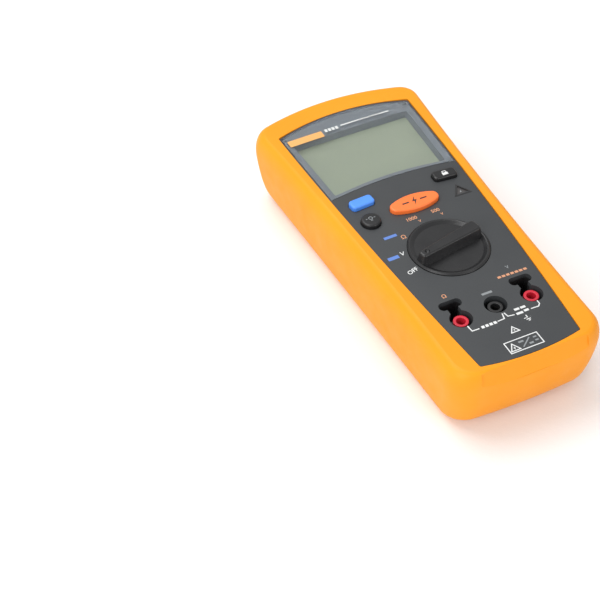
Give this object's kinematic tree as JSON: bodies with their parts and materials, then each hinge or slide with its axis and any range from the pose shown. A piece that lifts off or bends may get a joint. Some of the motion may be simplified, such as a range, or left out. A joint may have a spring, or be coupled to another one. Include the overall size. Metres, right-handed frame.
{
  "type": "insulation resistance tester",
  "caption": "Handheld insulation resistance tester in a rubber holster, with display, rotary range switch, press keys, recessed input sockets, folding tilt stand and battery door.",
  "frame": {"origin": "centre of the rear rest plane, midway along the length and width", "axes": "+X to the right when the face is read, +Y towards the display end, +Z out of the face"},
  "size_m": [0.0932, 0.2061, 0.0465],
  "materials": {
    "yellow_rubber": "satin moulded elastomer",
    "face_grey": "fine satin texture",
    "back_grey": "fine satin texture",
    "clear_lens": "polished",
    "mask_print": "smooth print",
    "lcd_green": "polished",
    "white_plastic": "smooth",
    "seal_black": "matte",
    "blue_key": "satin",
    "orange_key": "satin",
    "black_key": "satin",
    "knob_grey": "satin",
    "red_plastic": "smooth",
    "black_plastic": "smooth",
    "board_green": "solder mask",
    "contact_brass": "plated",
    "steel": "zinc plated",
    "ferrite": "matte",
    "copper_winding": "enamelled wire",
    "fuse_body": "matte",
    "cell_can": "gloss"
  },
  "bodies": {
    "meter": {"holster": "yellow_rubber", "front_case": "face_grey", "rear_case": "back_grey", "case_screws": "steel", "case_seal": "seal_black", "display_lens": "clear_lens", "display_mask": "mask_print", "lcd_glass": "lcd_green", "lcd_backlight": "white_plastic", "lcd_connectors": "seal_black", "keypad_mat": "seal_black", "hazard_lens": "mask_print", "hazard_led": "clear_lens", "switch_housing": "black_plastic", "detent_plungers": "steel", "main_board": "board_green", "board_screws": "steel", "input_board": "board_green", "link_strip": "contact_brass", "terminal_block": "black_plastic", "socket_sleeve_left": "red_plastic", "socket_sleeve_common": "black_plastic", "socket_sleeve_right": "red_plastic", "socket_contact_left": "contact_brass", "socket_contact_common": "contact_brass", "socket_contact_right": "contact_brass", "keyway_cup_left": "black_plastic", "keyway_cup_right": "black_plastic", "fuse": "fuse_body", "fuse_clips": "contact_brass", "transformer_core": "ferrite", "transformer_winding": "copper_winding", "hv_capacitors": "black_plastic", "relays": "white_plastic", "buzzer": "black_plastic", "micro_chips": "black_plastic", "insulating_sheet": "white_plastic", "battery_cells": "cell_can", "battery_springs": "steel", "battery_plates": "steel"},
    "knob": {"function_knob": "knob_grey", "knob_o_ring": "seal_black", "switch_rotor": "white_plastic", "rotor_contacts": "contact_brass"},
    "shift_button": {"shift_key": "blue_key"},
    "backlight_button": {"backlight_key": "black_key"},
    "test_button": {"test_key": "orange_key"},
    "lock_button": {"lock_key": "black_key"},
    "stand": {"tilt_stand": "yellow_rubber"},
    "door": {"battery_door": "back_grey", "door_gasket": "seal_black", "door_screws": "steel"}
  },
  "joints": [
    {"name": "knob_turn", "type": "hinge", "parent": "meter", "child": "knob", "pos_m": [0, -0.0236, 0.0414], "axis": [0, 0, -1], "range_deg": [0, 120]},
    {"name": "shift_press", "type": "slide", "parent": "meter", "child": "shift_button", "axis": [0, 0, -1], "range_m": [0, 0.0012], "stiffness_N_per_m": 1200},
    {"name": "backlight_press", "type": "slide", "parent": "meter", "child": "backlight_button", "axis": [0, 0, -1], "range_m": [0, 0.0012], "stiffness_N_per_m": 1200},
    {"name": "test_press", "type": "slide", "parent": "meter", "child": "test_button", "axis": [0, 0, -1], "range_m": [0, 0.0012], "stiffness_N_per_m": 1200},
    {"name": "lock_press", "type": "slide", "parent": "meter", "child": "lock_button", "axis": [0, 0, -1], "range_m": [0, 0.0012], "stiffness_N_per_m": 1200},
    {"name": "stand_swing", "type": "hinge", "parent": "meter", "child": "stand", "pos_m": [0, 0.038, 0.0017], "axis": [1, 0, 0], "range_deg": [0, 65]},
    {"name": "door_removal", "type": "slide", "parent": "meter", "child": "door", "axis": [0, 0, -1], "range_m": [0, 0.022]}
  ]
}
